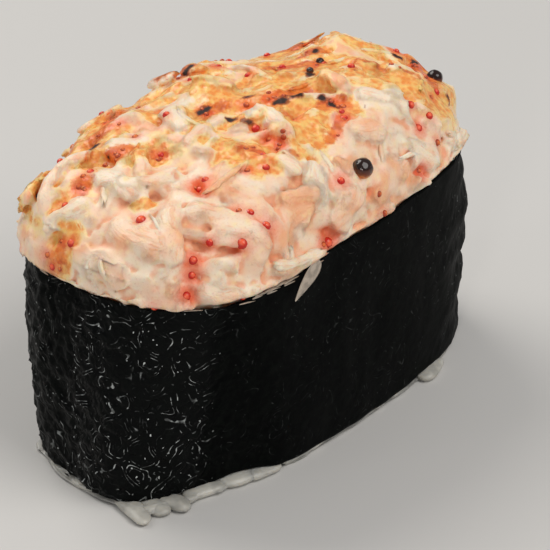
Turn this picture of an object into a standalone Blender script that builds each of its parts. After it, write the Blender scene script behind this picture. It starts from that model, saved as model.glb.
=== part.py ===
"""Gunkan sushi: pressed rice in an upright band of seaweed, heaped with a seafood salad.

Frame: +X along the piece, +Z up, origin on the table under the middle of its bounding box.
Three solids: the rice block, the seaweed strip wound round it and the heap of salad on top.
Run it with: blender --background --python part.py
"""

import math

import bmesh
import bpy
from mathutils import Vector, noise

MM = 0.001
TURN = 2 * math.pi

# The outside of the band is a superellipse at its foot and at its rim, pushed out or in by hand:
# each push is a direction in degrees, a depth in metres and a half width in degrees.
FOOT = {
    "half_x": 27.4 * MM,
    "half_y": 14.1 * MM,
    "power": 2.7,
    "shift": Vector((0.4 * MM, -0.6 * MM)),
    "pushes": ((190, 1.3 * MM, 9), (211, -1.9 * MM, 12)),
}
RIM = {
    "half_x": 26.0 * MM,
    "half_y": 15.1 * MM,
    "power": 3.1,
    "shift": Vector((0.0, 0.0)),
    "pushes": ((165, 0.3 * MM, 8), (219, 1.3 * MM, 19)),
}
BELLY = 0.02  # how far the band swells halfway up, as a share of its size

# The band: one strip of seaweed, whose outer end laps over its start on the far side.
BAND_THICKNESS = 0.6 * MM
FOOT_HEIGHT = 0.75 * MM
FOOT_LIFTS = ((216, 0.5 * MM, 9), (314, 0.4 * MM, 8))
RIM_HEIGHT = 24.0 * MM
RIM_RISE_X = 0.9 * MM  # the rim climbs this much from the middle to the +X end
RIM_RISE_Y = 0.5 * MM
RIM_WAVE = 0.22 * MM
LAP_START = math.radians(62)
LAP_LENGTH = math.radians(30)
LAP_RAMP = math.radians(14)
GAP = 0.3 * MM  # kept between neighbouring solids
BAND_STEPS = 88
BAND_ROWS = 6

# The rice: its foot ends about flush with the band, and single grains peep out further.
RICE_TOP = 15.5 * MM
RICE_SPREAD = 0.1 * MM
RICE_RIPPLE = 0.15 * MM
RICE_TUCK = 0.4 * MM  # the foot's rounded edge starts this far in from the band's outside
RICE_FOOT_THICKNESS = FOOT_HEIGHT - GAP
PEEPING_GRAINS = (
    (178, 0.5 * MM, 9.0),
    (198, 3.1 * MM, 3.4),
    (205, 2.3 * MM, 3.0),
    (211.5, 1.9 * MM, 3.2),
    (219, 1.1 * MM, 3.0),
    (318, 0.9 * MM, 3.0),
    (20, 1.3 * MM, 3.4),
    (75, 1.0 * MM, 4.0),
    (118, 1.5 * MM, 4.5),
    (160, 0.9 * MM, 3.4),
)
RICE_AROUND = 180  # points in each ring of the rice

# The heap of salad: a broad dome with steep sides, which leans out over the rim at both ends.
HEAP = {
    "half_x": 27.5 * MM,
    "half_y": 15.3 * MM,
    "power": 2.75,
    "shift": Vector((0.1 * MM, 0.4 * MM)),
    "pushes": RIM["pushes"],
}
HEAP_HEIGHT = 8.2 * MM  # above its lip
HEAP_LEAN = 0.8 * MM  # the dome is this much lower at its far side than in the middle
HEAP_LIP = 0.9 * MM  # the widest line of the heap stands this far above the rim
HEAP_SHOULDER = 3.3  # a higher power gives a flatter top and steeper sides
HEAP_LUMP = 1.1 * MM
HEAP_LUMP_SIZE = 5.0 * MM
HEAP_STEPS_X = 44
HEAP_STEPS_Y = 24
SPOONFULS = (  # x, y, extra height, radius of each raised or sunken spoonful of the heap
    (-21.5 * MM, 8.5 * MM, 2.2 * MM, 4.5 * MM),
    (-8.0 * MM, 10.5 * MM, 1.0 * MM, 4.5 * MM),
    (3.5 * MM, 11.5 * MM, 1.6 * MM, 4.5 * MM),
    (15.0 * MM, 9.0 * MM, -1.6 * MM, 4.5 * MM),
    (21.0 * MM, 3.0 * MM, 1.7 * MM, 4.5 * MM),
    (24.5 * MM, -4.0 * MM, -0.9 * MM, 3.5 * MM),
)
LUMP_SEED = Vector((3.7, 1.3, 9.1))


def clear_scene():
    for thing in list(bpy.data.objects):
        bpy.data.objects.remove(thing, do_unlink=True)


def make_material(name, colour, roughness):
    made = bpy.data.materials.new(name)
    made.use_nodes = True
    shader = made.node_tree.nodes["Principled BSDF"]
    shader.inputs["Base Color"].default_value = (*colour, 1.0)
    shader.inputs["Roughness"].default_value = roughness
    shader.inputs["Metallic"].default_value = 0.0
    return made


def add_object(name, shape, material):
    """Turns a finished bmesh into a smooth-shaded object."""
    data = bpy.data.meshes.new(name)
    shape.to_mesh(data)
    shape.free()
    data.shade_smooth()
    data.set_sharp_from_angle(angle=math.radians(50))
    data.materials.append(material)
    made = bpy.data.objects.new(name, data)
    bpy.context.collection.objects.link(made)
    return made


def smooth_step(value):
    value = min(max(value, 0.0), 1.0)
    return value * value * (3 - 2 * value)


def angle_between(angle, degrees):
    return (angle - math.radians(degrees) + math.pi) % TURN - math.pi


def pushed(angle, pushes):
    """The sum of the hand-placed pushes at this angle, each one a smooth hump."""
    return sum(
        depth * math.exp(-((angle_between(angle, degrees) / math.radians(width)) ** 2))
        for degrees, depth, width in pushes
    )


def rounded(plan, angle, outwards=0.0):
    """The point of a squarish plan outline that lies in the given direction."""
    direction = Vector((math.cos(angle), math.sin(angle)))
    across = abs(direction.x / (plan["half_x"] + outwards)) ** plan["power"]
    deep = abs(direction.y / (plan["half_y"] + outwards)) ** plan["power"]
    reach = (across + deep) ** (-1 / plan["power"]) + pushed(angle, plan["pushes"])
    return direction * reach


def band_outline(angle, share, outwards=0.0):
    """The band's outside at a share of its height, from 0 at the foot to 1 at the rim."""
    swell = 1 + BELLY * 4 * share * (1 - share)
    point = rounded(FOOT, angle, outwards).lerp(rounded(RIM, angle, outwards), share) * swell
    return point + FOOT["shift"].lerp(RIM["shift"], share)


def foot_height(angle):
    return FOOT_HEIGHT + pushed(angle, FOOT_LIFTS)


def rim_height(angle):
    """The height of the band's upper edge, which is cut straight but stands a little uneven."""
    wave = 0.6 * math.sin(3 * angle + 0.8) + 0.4 * math.sin(7 * angle + 2.0)
    return RIM_HEIGHT + RIM_RISE_X * math.cos(angle) + RIM_RISE_Y * math.sin(angle) + RIM_WAVE * wave


def height_share(angle, height):
    low = foot_height(angle)
    return max(height - low, 0.0) / (rim_height(angle) - low)


def make_band(material):
    """A grid bent round the outline, from under the lap to its outer end, then given its thickness."""
    strip = bmesh.new()
    bmesh.ops.create_grid(strip, x_segments=BAND_STEPS, y_segments=BAND_ROWS, size=0.5)
    for vert in strip.verts:
        angle = LAP_START + (vert.co.x + 0.5) * (TURN + LAP_LENGTH)
        share = vert.co.y + 0.5
        lapped = smooth_step((angle - (LAP_START + TURN - LAP_RAMP)) / LAP_RAMP)
        point = band_outline(angle, share, lapped * (BAND_THICKNESS + GAP))
        low = foot_height(angle)
        vert.co = (point.x, point.y, low + share * (rim_height(angle) - low))
    bmesh.ops.recalc_face_normals(strip, faces=strip.faces)
    band = add_object("nori", strip, material)
    wall = band.modifiers.new("Thickness", "SOLIDIFY")
    wall.thickness = BAND_THICKNESS
    wall.offset = -1.0
    return band


def raise_ring(shape, loop, place):
    """Extrudes a closed loop of edges and moves each new point to the place worked out from its angle."""
    grown = bmesh.ops.extrude_edge_only(shape, edges=loop)["geom"]
    for vert in (item for item in grown if isinstance(item, bmesh.types.BMVert)):
        vert.co = place(math.atan2(vert.co.y, vert.co.x))
    return [item for item in grown if isinstance(item, bmesh.types.BMEdge)]


def close_top(shape, loop):
    bmesh.ops.holes_fill(shape, edges=loop, sides=0)
    bmesh.ops.recalc_face_normals(shape, faces=shape.faces)


def grain_reach(angle):
    """How far the rice's foot sticks out past the band in this direction."""
    ripple = 0.6 * math.sin(11 * angle) + 0.4 * math.sin(23 * angle + 1.0)
    return RICE_SPREAD + RICE_RIPPLE * ripple + pushed(angle, PEEPING_GRAINS)


def make_rice(material):
    """The pressed block: a spread foot on the table, then a wall just inside the band."""
    inside = -(BAND_THICKNESS + GAP)

    def foot_ring(height, slope, heap_up=0.0):
        def place(angle):
            reach = grain_reach(angle)
            point = band_outline(angle, 0.0, reach * slope - RICE_TUCK * (1 - slope))
            return (point.x, point.y, height + heap_up * max(reach - RICE_SPREAD, 0.0))

        return place

    def wall_ring(height, tuck=0.0):
        def place(angle):
            point = band_outline(angle, height_share(angle, height), inside - tuck)
            return (point.x, point.y, height)

        return place

    shape = bmesh.new()
    bmesh.ops.create_circle(shape, cap_ends=True, segments=RICE_AROUND, radius=1.0)
    foot = foot_ring(0.0, 0.8)
    for vert in shape.verts:
        vert.co = foot(math.atan2(vert.co.y, vert.co.x))
    loop = list(shape.edges)
    rings = [foot_ring(0.25 * MM, 1.0, 0.15), foot_ring(RICE_FOOT_THICKNESS, 0.6, 0.35)]
    rings += [foot_ring(RICE_FOOT_THICKNESS, 0.0), wall_ring(FOOT_HEIGHT)]
    rings += [wall_ring(share * RICE_TOP) for share in (0.35, 0.7, 0.95)]
    rings += [wall_ring(RICE_TOP, 1.2 * MM)]
    for place in rings:
        loop = raise_ring(shape, loop, place)
    close_top(shape, loop)
    return add_object("rice", shape, material)


def heap_surface(angle, reach):
    """The salad's upper surface. Reach runs from 0 in the middle of the heap to 1 at its lip."""
    flat = rounded(HEAP, angle) * reach + HEAP["shift"]
    dome = math.sqrt(max(1 - reach**HEAP_SHOULDER, 0.0))
    extra = sum(
        height * math.exp(-((flat - Vector((x, y))).length_squared) / radius**2)
        for x, y, height, radius in SPOONFULS
    )
    rise = HEAP_HEIGHT - HEAP_LEAN * flat.y / HEAP["half_y"] + extra
    lip = RIM_HEIGHT + HEAP_LIP + RIM_RISE_X * flat.x / RIM["half_x"]
    lip += RIM_RISE_Y * flat.y / RIM["half_y"]
    point = Vector((flat.x, flat.y, lip + rise * dome))
    outward = Vector((flat.x, 2 * flat.y, HEAP["half_y"] * dome)).normalized()
    lump = noise.noise(point / HEAP_LUMP_SIZE + LUMP_SEED) * HEAP_LUMP
    return point + outward * lump * smooth_step(2 * dome)


def make_salad(material):
    """A grid pulled into the dome, whose edge then runs in over the rim and down into the band."""
    inside = -(BAND_THICKNESS + GAP)
    floor = RICE_TOP + GAP

    def under_lip(angle):
        lip = heap_surface(angle, 1.0)
        return (0.985 * lip.x, 0.985 * lip.y, max(rim_height(angle) + GAP, lip.z - 0.6 * MM))

    def neck(angle):
        point = band_outline(angle, 1.0, inside)
        return (point.x, point.y, rim_height(angle) + GAP)

    def inner_ring(level, tuck=0.0):
        def place(angle):
            height = floor + level * (rim_height(angle) - floor)
            point = band_outline(angle, height_share(angle, height), inside - tuck)
            return (point.x, point.y, height)

        return place

    shape = bmesh.new()
    bmesh.ops.create_grid(shape, x_segments=HEAP_STEPS_X, y_segments=HEAP_STEPS_Y, size=1.0)
    for vert in shape.verts:
        ring = max(abs(vert.co.x), abs(vert.co.y))
        round_x = vert.co.x * math.sqrt(1 - vert.co.y**2 / 2) * HEAP["half_x"]
        round_y = vert.co.y * math.sqrt(1 - vert.co.x**2 / 2) * HEAP["half_y"]
        vert.co = heap_surface(math.atan2(round_y, round_x), 1.5 * ring - 0.5 * ring**2)
    loop = [edge for edge in shape.edges if edge.is_boundary]
    for place in (under_lip, neck, inner_ring(0.5), inner_ring(0.12), inner_ring(0.0, 0.8 * MM)):
        loop = raise_ring(shape, loop, place)
    close_top(shape, loop)
    return add_object("topping", shape, material)


def main():
    clear_scene()
    make_rice(make_material("rice", (0.86, 0.84, 0.79), 0.45))
    make_band(make_material("nori", (0.012, 0.017, 0.013), 0.42))
    make_salad(make_material("topping", (0.89, 0.68, 0.48), 0.38))


main()
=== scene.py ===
# %% [markdown]
# # Gunkan sushi
# A gunkan is pressed rice with a strip of dried seaweed stood round it like a ship's hull, and a soft
# filling heaped on top. This one carries shredded seafood in mayonnaise, passed under a flame and
# dotted with tiny roe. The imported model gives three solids: `rice`, `nori` and `topping`. They hold
# the true places and sizes, so every piece below is laid onto their surfaces and then hides them.

import math
import random

import bmesh
import bpy
import numpy as np
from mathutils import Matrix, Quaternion, Vector, noise
from mathutils.bvhtree import BVHTree
from mathutils.kdtree import KDTree


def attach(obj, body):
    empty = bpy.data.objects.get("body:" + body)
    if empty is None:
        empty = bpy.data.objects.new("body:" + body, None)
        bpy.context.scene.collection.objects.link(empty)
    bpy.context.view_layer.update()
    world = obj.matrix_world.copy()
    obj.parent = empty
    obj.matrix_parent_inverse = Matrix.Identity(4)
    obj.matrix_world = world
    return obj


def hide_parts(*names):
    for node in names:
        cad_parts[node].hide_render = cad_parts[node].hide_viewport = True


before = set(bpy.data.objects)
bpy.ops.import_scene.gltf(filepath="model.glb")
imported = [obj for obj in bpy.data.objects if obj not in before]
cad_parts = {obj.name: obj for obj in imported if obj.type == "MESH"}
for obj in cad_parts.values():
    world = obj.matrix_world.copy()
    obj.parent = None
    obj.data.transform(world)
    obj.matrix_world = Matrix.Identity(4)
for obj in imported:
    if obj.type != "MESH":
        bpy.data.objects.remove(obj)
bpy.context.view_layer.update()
MM = 0.001
TURN = 2 * math.pi

# %% [markdown]
# ## Camera, floor and light
# Something this small is best seen through a long lens from close by, which keeps its sides parallel.
# A wide soft window stands behind it and a second wide lamp hangs over the front. Two small weak lamps
# at the near end light the seaweed's wrinkles, though most of its glints are painted. The floor is plain and
# pale.

# %% Camera
CAMERA_TURN = math.radians(-49.5)
CAMERA_RISE = math.radians(29.3)
CAMERA_DISTANCE = 340 * MM
towards_camera = Vector((
    math.sin(CAMERA_TURN) * math.cos(CAMERA_RISE),
    -math.cos(CAMERA_TURN) * math.cos(CAMERA_RISE),
    math.sin(CAMERA_RISE),
))
camera_right = Vector((0, 0, 1)).cross(towards_camera).normalized()
camera_up = towards_camera.cross(camera_right)
middle = Vector((0, 0, 12 * MM))
camera = bpy.data.objects.new("camera", bpy.data.cameras.new("camera"))
camera.location = middle + towards_camera * CAMERA_DISTANCE
aim = middle + camera_right * 2.77 * MM + camera_up * 1.06 * MM
camera.rotation_euler = (aim - camera.location).to_track_quat("-Z", "Y").to_euler()
camera.data.sensor_width = 36
camera.data.lens = 209
camera.data.clip_start = 0.01
bpy.context.scene.collection.objects.link(camera)
bpy.context.scene.camera = camera
print("camera stands", round(CAMERA_DISTANCE / MM), "mm away")


# %% Soft lights and a dim sky
def soft_light(name, direction, distance, size, power, tint):
    """A round lamp on the given side of the sushi, facing it."""
    lamp = bpy.data.objects.new(name, bpy.data.lights.new(name, "AREA"))
    lamp.data.shape = "DISK"
    lamp.data.size = size
    lamp.data.energy = power
    lamp.data.color = tint
    lamp.location = Vector(direction).normalized() * distance + middle
    lamp.rotation_euler = (middle - lamp.location).to_track_quat("-Z", "Y").to_euler()
    bpy.context.scene.collection.objects.link(lamp)
    return lamp


soft_light("window", (0.05, 0.80, 0.95), 0.60, 0.40, 1.8, (1.0, 0.97, 0.92))
soft_light("overhead", (0.15, -0.75, 1.0), 0.60, 0.45, 1.95, (1.0, 0.98, 0.95))
soft_light("front_glint", (-0.90, -0.50, 0.34), 0.60, 0.08, 0.45, (1.0, 0.98, 0.95))
soft_light("skimmer", (-0.95, 0.45, 0.20), 0.50, 0.06, 0.12, (1.0, 1.0, 1.0))
sky = bpy.data.worlds.new("soft_sky")
sky.use_nodes = True
sky.node_tree.nodes["Background"].inputs["Color"].default_value = (0.95, 0.97, 1.0, 1.0)
sky.node_tree.nodes["Background"].inputs["Strength"].default_value = 0.30
bpy.context.scene.world = sky
bpy.context.scene.view_settings.view_transform = "Standard"


# %% [markdown]
# ## Small tools for the whole lesson
# Materials are built from nodes again and again, so one helper adds a node and wires it, and another
# blends two colours. Colours are written as the eight-bit values a painter would pick, then turned into
# the linear light that the renderer works in.

# %% Material helpers
def paint(shaded_red_rim, green, blue):
    """An eight-bit screen colour as linear light."""
    shares = (channel / 255 for channel in (shaded_red_rim, green, blue))
    linear = [s / 12.92 if s <= 0.04045 else ((s + 0.055) / 1.055) ** 2.4 for s in shares]
    return (*linear, 1.0)


def add_node(tree, kind, inputs=None, **settings):
    """A new shader node. An input is either a value or another node's output socket."""
    made = tree.nodes.new(kind)
    for name, value in settings.items():
        setattr(made, name, value)
    for socket, value in (inputs or {}).items():
        if isinstance(value, bpy.types.NodeSocket):
            tree.links.new(value, made.inputs[socket])
        else:
            made.inputs[socket].default_value = value
    return made


def blend(tree, share, first, second, how="MIX"):
    """Mixes two colours: share 0 gives the first and share 1 the second."""
    mixed = add_node(tree, "ShaderNodeMix", {0: share, 6: first, 7: second}, data_type="RGBA")
    mixed.blend_type = how
    return mixed.outputs[2]


def calculate(tree, how, first, second=0.0, third=0.0, clamp=False):
    made = add_node(tree, "ShaderNodeMath", {0: first, 1: second, 2: third}, operation=how)
    made.use_clamp = clamp
    return made.outputs[0]


def fit_range(tree, value, low, high, to_low=0.0, to_high=1.0):
    """Maps low..high onto to_low..to_high with soft ends."""
    made = add_node(tree, "ShaderNodeMapRange", {0: value, 1: low, 2: high, 3: to_low, 4: to_high})
    made.interpolation_type = "SMOOTHSTEP"
    return made.outputs[0]


def speckle(tree, where, per_mm, detail=2.0, roughness=0.5, distortion=0.0):
    """Noise with a given number of blotches in each millimetre."""
    sizes = {"Scale": per_mm / MM, "Detail": detail, "Roughness": roughness, "Distortion": distortion}
    return add_node(tree, "ShaderNodeTexNoise", {"Vector": where, **sizes}).outputs["Fac"]


def read(tree, name, output="Fac"):
    """A value that was painted on the points of the mesh."""
    return add_node(tree, "ShaderNodeAttribute", attribute_name=name).outputs[output]


def new_material(name):
    """An empty material with its shader, and the piece's own coordinates."""
    made = bpy.data.materials.new(name)
    made.use_nodes = True
    tree = made.node_tree
    shader = tree.nodes["Principled BSDF"]
    place = add_node(tree, "ShaderNodeTexCoord").outputs["Object"]
    return made, tree, shader, place


def add_bump(tree, shader, height, depth, strength=1.0, under=None):
    """Relief for the light only, on top of another bump if one is given."""
    inputs = {"Height": height, "Distance": depth, "Strength": strength}
    if under is not None:
        inputs["Normal"] = under
    normal = add_node(tree, "ShaderNodeBump", inputs).outputs["Normal"]
    tree.links.new(normal, shader.inputs["Normal"])
    return normal


# %% Mesh helpers
def add_piece(name, shape, material):
    """Turns a finished bmesh into a smooth piece that rides on the sushi's only body."""
    data = bpy.data.meshes.new(name)
    shape.to_mesh(data)
    shape.free()
    data.shade_smooth()
    data.materials.append(material)
    piece = bpy.data.objects.new(name, data)
    bpy.context.scene.collection.objects.link(piece)
    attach(piece, "root")
    return piece


def skin_of(node):
    """A search tree on a CAD node's surface, and a merged copy of its mesh."""
    shape = bmesh.new()
    shape.from_mesh(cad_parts[node].data)
    bmesh.ops.remove_doubles(shape, verts=shape.verts, dist=0.001 * MM)
    bmesh.ops.recalc_face_normals(shape, faces=shape.faces)
    return BVHTree.FromBMesh(shape), shape


def copies_of(template, count):
    """One bmesh that holds many copies of a small mesh, one after another."""
    shape = bmesh.new()
    for _ in range(count):
        shape.from_mesh(template)
    shape.verts.ensure_lookup_table()
    return shape


def triangles(piece):
    return sum(len(face.vertices) - 2 for face in piece.data.polygons)


def paint_points(piece, name, values):
    """Stores one number, or one vector, for each point of a piece, for its material to read."""
    kind = "FLOAT" if values.ndim == 1 else "FLOAT_VECTOR"
    layer = piece.data.attributes.new(name, kind, "POINT")
    layer.data.foreach_set("value" if values.ndim == 1 else "vector", values.astype(np.float32).ravel())


def smooth_step(value, low, high):
    """From 0 at low to 1 at high, with soft ends."""
    share = np.clip((value - low) / (high - low), 0, 1)
    return share * share * (3 - 2 * share)


# %% [markdown]
# ## Reading the band's path
# The seaweed strip, the grains under it and the salad above it all follow the same oval. A ray from the
# middle outwards finds the band's inner wall in any direction. The CAD wall is made of flat facets, so
# only the slow waves of that distance are kept, and the finished strip curves without corners.

# %% Trace the band
BAND_SAMPLES = 360
BAND_ROWS = 9
CAD_WALL = 0.6 * MM
band_angles = np.linspace(0, TURN, BAND_SAMPLES, endpoint=False)


def slow_waves(values, waves=24):
    """Drops the fast ripples of values that run once round the band."""
    spectrum = np.fft.rfft(values, axis=-1)
    spectrum[..., waves:] = 0
    return np.fft.irfft(spectrum, BAND_SAMPLES, axis=-1)


def trace_band():
    """The band's lower edge, its upper edge and its inner radius, each by direction."""
    skin, shape = skin_of("nori")
    points = np.array([vert.co for vert in shape.verts])
    shape.free()
    turn = np.arctan2(points[:, 1], points[:, 0])
    low, high = [], []
    for angle in band_angles:
        beside = np.abs((turn - angle + math.pi) % TURN - math.pi) < math.radians(3)
        low.append(points[beside, 2].min())
        high.append(points[beside, 2].max())
    low, high = slow_waves(np.array(low)), slow_waves(np.array(high))
    radius = np.empty((BAND_ROWS, BAND_SAMPLES))
    for row, share in enumerate(np.linspace(0.03, 0.97, BAND_ROWS)):
        for column, angle in enumerate(band_angles):
            start = Vector((0, 0, low[column] + share * (high[column] - low[column])))
            radius[row, column] = skin.ray_cast(start, (math.cos(angle), math.sin(angle), 0))[3]
    return low, high, slow_waves(radius)


def by_angle(table, angle):
    """Looks a table of directions up at any angles."""
    ticks = np.append(band_angles, TURN)
    return np.interp(np.asarray(angle) % TURN, ticks, np.append(table, table[0]))


band_low, band_high, band_radius = trace_band()
print("band stands", round(np.ptp([band_low.min(), band_high.max()]) / MM, 1), "mm high")


# %% Points on the band's inner wall
def wall_points(angle, share):
    """Points on the inner wall, at a share of its height, with the directions that point outwards."""
    rows = np.array([by_angle(row, angle) for row in band_radius])
    place = np.clip(np.asarray(share), 0, 1) * (BAND_ROWS - 1)
    lower = np.minimum(place.astype(int), BAND_ROWS - 2)
    pick = np.arange(len(angle))
    radius = rows[lower, pick] * (1 - (place - lower)) + rows[lower + 1, pick] * (place - lower)
    low = by_angle(band_low, angle)
    height = low + share * (by_angle(band_high, angle) - low)
    return np.stack([radius * np.cos(angle), radius * np.sin(angle), height], 1)


def wall_with_normals(angle, share):
    """The points of wall_points, and the level directions that leave the wall there."""
    nudge = math.radians(0.5)
    here = wall_points(angle, share)
    along = wall_points(angle + nudge, share) - wall_points(angle - nudge, share)
    outwards = np.stack([along[:, 1], -along[:, 0], np.zeros(len(along))], 1)
    return here, outwards / np.linalg.norm(outwards, axis=1, keepdims=True)


# %% [markdown]
# ## The nori band
# Nori is pressed and dried like paper: a sheet a quarter of a millimetre thick, black with a green cast.
# Damp rice makes it pucker, so its face is covered in small wrinkles and blisters that catch the light.
# One grid makes the whole strip. It is unrolled along the length of the path, not along its angle, so
# that its cells stay the same size round the tight ends. The wrinkles that a finger would feel are
# real relief, and the finest ones are left to the material.

# %% Unroll the strip's path
LAP_START = math.radians(62)
LAP = math.radians(30)
LAP_RAMP = math.radians(12)
NORI_THICKNESS = 0.28 * MM
STRIP_COLUMNS = 470
STRIP_ROWS = 78

walk = np.linspace(LAP_START, LAP_START + TURN + LAP, 1600)
walk_points = wall_points(walk, np.full(len(walk), 0.5))
walked = np.append(0, np.cumsum(np.linalg.norm(np.diff(walk_points, axis=0), axis=1)))
print("nori strip is", round(walked[-1] / MM), "mm long")


# %% Wrinkles and blisters
def wrinkle(point, along):
    """How far the sheet stands out at a point: waves, ribs and bulges, then creases at the ends."""
    spot = Vector(point) / MM
    stretched = Vector((along / MM, spot.z * 0.55, 0.0))
    slow = noise.noise(stretched / 7.0 + Vector((0, 0, 4.2))) * 0.28
    ribs = noise.noise(Vector((along / MM / 2.6, spot.z / 9.0, 8.8))) * 0.07
    warp = noise.noise_vector(spot / 2.4) * 0.9
    creases = noise.ridged_multi_fractal(spot / 2.3 + warp, 0.9, 2.1, 2, 0.85, 1.8)
    blisters = noise.noise(spot / 1.0 + warp)
    ends = 0.07 + 0.93 * min(1.0, (spot.x / 24) ** 4) * (1.0 if spot.x < 0 else 0.4)
    far_end = min(1.0, max(0.0, spot.x / 6 - 2.5))
    bulges = noise.noise(Vector((along / MM / 9.0, spot.z / 3.0, 6.1))) * 0.9 * far_end
    return (slow + ribs + bulges + ends * ((creases - 1.0) * 0.20 + blisters * 0.30)) * MM


def make_nori(material):
    """Bends one flat grid round the path and gives it its wrinkles and its thickness."""
    strip = bmesh.new()
    bmesh.ops.create_grid(strip, x_segments=STRIP_COLUMNS, y_segments=STRIP_ROWS, size=0.5)
    flat = np.array([vert.co for vert in strip.verts])
    along = (flat[:, 0] + 0.5) * walked[-1]
    angle = np.interp(along, walked, walk)
    share = flat[:, 1] + 0.5
    wall, outwards = wall_with_normals(angle, share)
    lapped = smooth_step(angle, LAP_START + TURN - LAP_RAMP, LAP_START + TURN)
    stand_off = CAD_WALL - 0.05 * MM + lapped * (NORI_THICKNESS + 0.12 * MM)
    for vert, base, out, off, way, rise in zip(strip.verts, wall, outwards, stand_off, along, share):
        raised = wrinkle(base, way)
        edge = noise.noise(Vector((way / MM / 3.0, 5.0 * round(rise), 2.0))) * 0.16 * MM
        lift = edge * (smooth_step(rise, 0.8, 1.0) + smooth_step(-rise, -0.15, 0.0))
        vert.co = Vector(base) + Vector(out) * (off + raised) + Vector((0, 0, lift))
    bmesh.ops.recalc_face_normals(strip, faces=strip.faces)
    sheet = add_piece("nori_sheet", strip, material)
    wall = sheet.modifiers.new("thickness", "SOLIDIFY")
    wall.thickness = NORI_THICKNESS
    wall.offset = -1.0
    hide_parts("nori")
    return sheet


# %% [markdown]
# The nori's colour is nearly black, with mossy green where the sheet is thin and bleached specks of
# pressed weed. What makes it read as nori is a face that breaks up: at the near end the light catches
# the tops of fine folds as short silvery lines. Folds this fine would need too many faces, so these
# glints are painted into the colour as the broken contour lines of a soft noise, gathered in clusters,
# with a few bright dots of painted glint, over a grey painted sheen at the near end.

# %% Nori material
def nori_material():
    made, tree, shader, place = new_material("nori")
    weed = speckle(tree, place, 0.9, 4.0, 0.65, 1.2)
    fibre = speckle(tree, place, 5.0, 3.0, 0.6, 0.4)
    deep = blend(tree, fit_range(tree, weed, 0.40, 0.72), paint(3, 4, 4), paint(9, 12, 10))
    flecks_and_glints = blend(tree, fit_range(tree, fibre, 0.66, 0.80, 0.0, 0.3), deep, paint(24, 26, 22))
    along, aside, _ = add_node(tree, "ShaderNodeSeparateXYZ", {0: place}).outputs
    near_end = fit_range(tree, along, -18 * MM, -22.5 * MM, 0.06, 1.0)
    near_end = calculate(tree, "MULTIPLY", near_end, fit_range(tree, aside, 5 * MM, -5 * MM, 0.45, 1.0))
    crinkled = calculate(tree, "ADD", near_end, fit_range(tree, along, 14 * MM, 26 * MM, 0.0, 0.3))
    # Painted glints: thin broken lines where the light would catch the tops of the folds.
    swirl = speckle(tree, place, 0.30, 1.0, 0.4, 0.4)
    glint_lines = calculate(tree, "SINE", calculate(tree, "MULTIPLY", swirl, 78.0))
    glint_lines = fit_range(tree, glint_lines, 0.84, 0.99)
    ringed = fit_range(tree, calculate(tree, "ABSOLUTE", calculate(tree, "SUBTRACT", swirl, 0.5)), 0.17, 0.11)
    dashes = calculate(tree, "MULTIPLY", ringed, fit_range(tree, speckle(tree, place, 1.3, 1.0), 0.48, 0.60))
    clusters = fit_range(tree, speckle(tree, place, 0.26, 1.0), 0.40, 0.56, 0.06, 1.0)
    shine = fit_range(tree, speckle(tree, place, 1.9, 0.0), 0.35, 0.75, 0.2, 1.0)
    # Painted sheen: a grey haze over the near end, where the light catches the crinkled sheet.
    flecks_and_glints = blend(tree, fit_range(tree, near_end, 0.3, 1.0, 0.0, 0.3), flecks_and_glints, paint(26, 27, 27))
    glint_lines = calculate(tree, "MULTIPLY", calculate(tree, "MULTIPLY", glint_lines, dashes), shine)
    # Painted glints: a few bright dots, strongest near the ends.
    glint_dots = fit_range(tree, speckle(tree, place, 2.8, 0.0), 0.81, 0.86)
    glints = calculate(tree, "MAXIMUM", calculate(tree, "MULTIPLY", glint_lines, clusters), glint_dots)
    glints = calculate(tree, "MULTIPLY", glints, crinkled)
    flecks_and_glints = blend(tree, glints, flecks_and_glints, paint(190, 194, 192))
    tree.links.new(flecks_and_glints, shader.inputs["Base Color"])
    tree.links.new(fit_range(tree, near_end, 0.1, 0.8, 0.55, 0.22), shader.inputs["Roughness"])
    shader.inputs["Specular IOR Level"].default_value = 0.03
    puckers = speckle(tree, place, 0.9, 0.5, 0.4, 1.4)
    add_bump(tree, shader, calculate(tree, "MULTIPLY", puckers, crinkled), 0.6 * MM, 0.5)
    return made


nori_sheet = make_nori(nori_material())
print("nori sheet:", triangles(nori_sheet), "faces before its thickness")

# %% [markdown]
# ## The rice
# Only the foot of the rice shows: a pale line under the seaweed and a few grains that were squeezed out
# at one corner. Still, the underside is part of the piece, so the whole foot is laid with grains over a
# slightly smaller core. A grain is a ball stretched to six millimetres and bent a little. Those under
# the band are pressed flat by it, which keeps them from poking through.

# %% Rice core
RICE_SHRINK = 0.35 * MM


def make_rice_core(material):
    _, shape = skin_of("rice")
    for vert in shape.verts:
        vert.co -= vert.normal * RICE_SHRINK
        vert.co.z = max(vert.co.z, 0.3 * MM)
    core = add_piece("rice_core", shape, material)
    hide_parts("rice")
    return core


# %% Rice material
def rice_material():
    made, tree, shader, place = new_material("cooked_rice")
    cloud = speckle(tree, place, 0.5, 2.0)
    # Painted shade: the grains are painted grey, as if the foot lay in shadow; the cloud between the two
    # greys is the rice's own milky tone.
    milky_with_painted_shade = blend(tree, fit_range(tree, cloud, 0.35, 0.65), paint(158, 156, 149), paint(188, 185, 176))
    tree.links.new(milky_with_painted_shade, shader.inputs["Base Color"])
    shader.inputs["Roughness"].default_value = 0.36
    shader.inputs["Subsurface Weight"].default_value = 0.35
    shader.inputs["Subsurface Radius"].default_value = (1.0, 0.85, 0.65)
    shader.inputs["Subsurface Scale"].default_value = 1.2 * MM
    add_bump(tree, shader, speckle(tree, place, 2.2, 3.0), 0.08 * MM, 0.6)
    return made


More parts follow.
